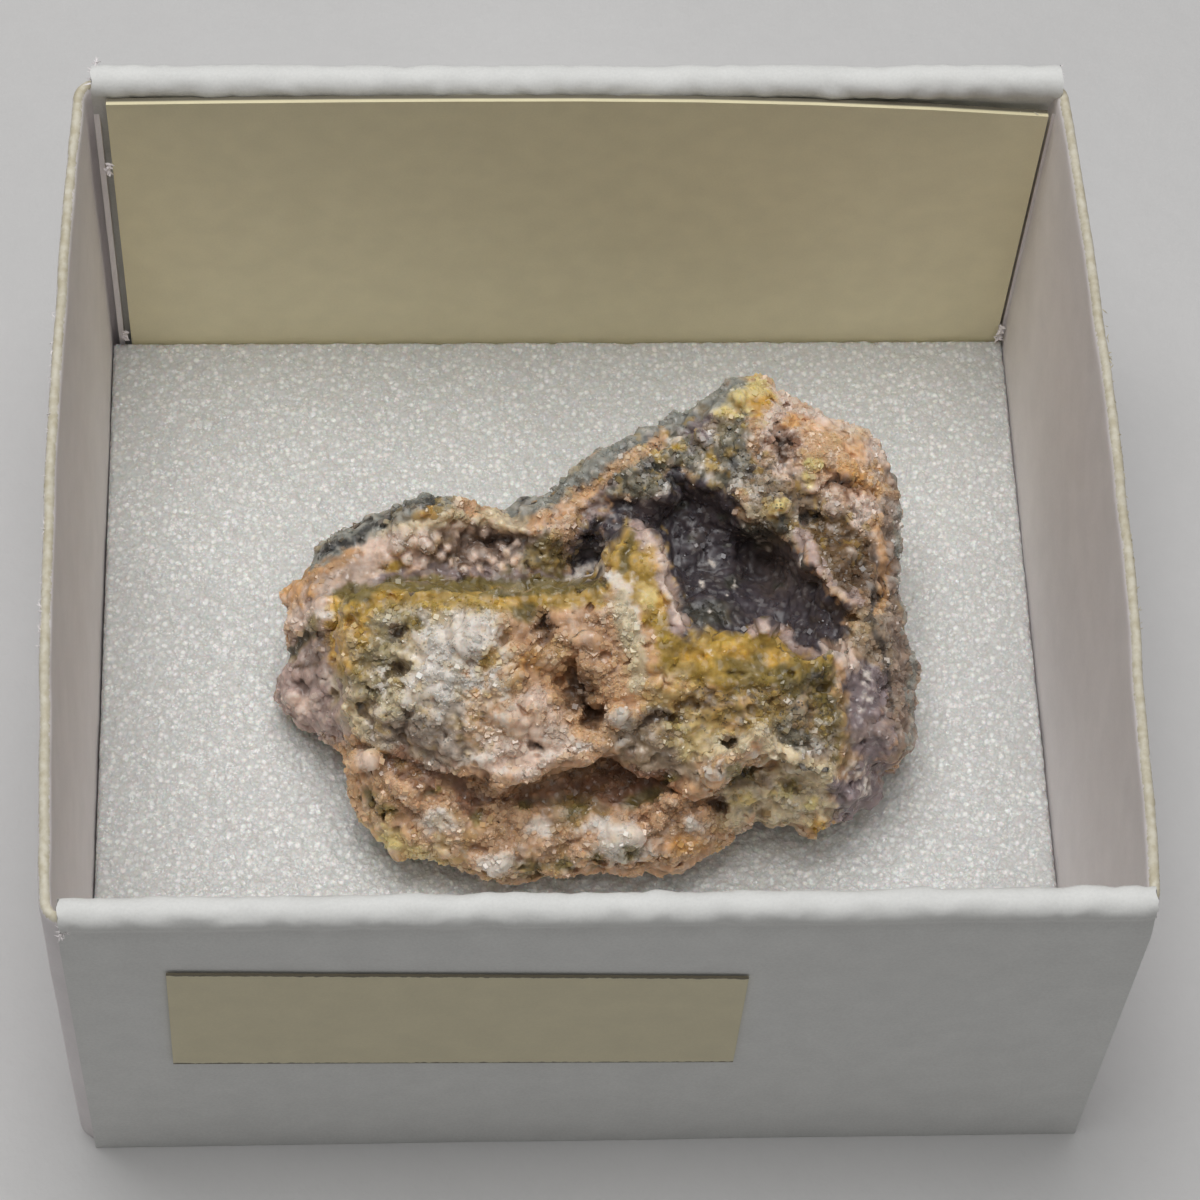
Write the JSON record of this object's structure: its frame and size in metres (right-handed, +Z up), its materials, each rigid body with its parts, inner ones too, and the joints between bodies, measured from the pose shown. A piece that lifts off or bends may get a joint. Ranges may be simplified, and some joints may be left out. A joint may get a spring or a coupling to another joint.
{
  "type": "boxed smithsonite mineral specimen",
  "caption": "Knobbly pink and ochre smithsonite stone resting on a foam pad in a small open white card box with a beige card standing behind it.",
  "frame": {"origin": "middle of the card box's underside", "axes": "+X to the box's right, +Y to its back, where the card stands, +Z up"},
  "size_m": [0.0436, 0.0406, 0.022],
  "materials": {
    "stone": "crusted mineral, pink, ochre and dark purple, with a fine sparkle",
    "white_card": "uncoated white card",
    "foam": "white closed-cell foam",
    "beige_card": "smooth beige card",
    "label_paper": "beige paper label"
  },
  "bodies": {
    "root": {"smithsonite": "stone", "card_box": "white_card", "foam_pad": "foam", "name_card": "beige_card", "front_label": "label_paper"}
  },
  "joints": []
}
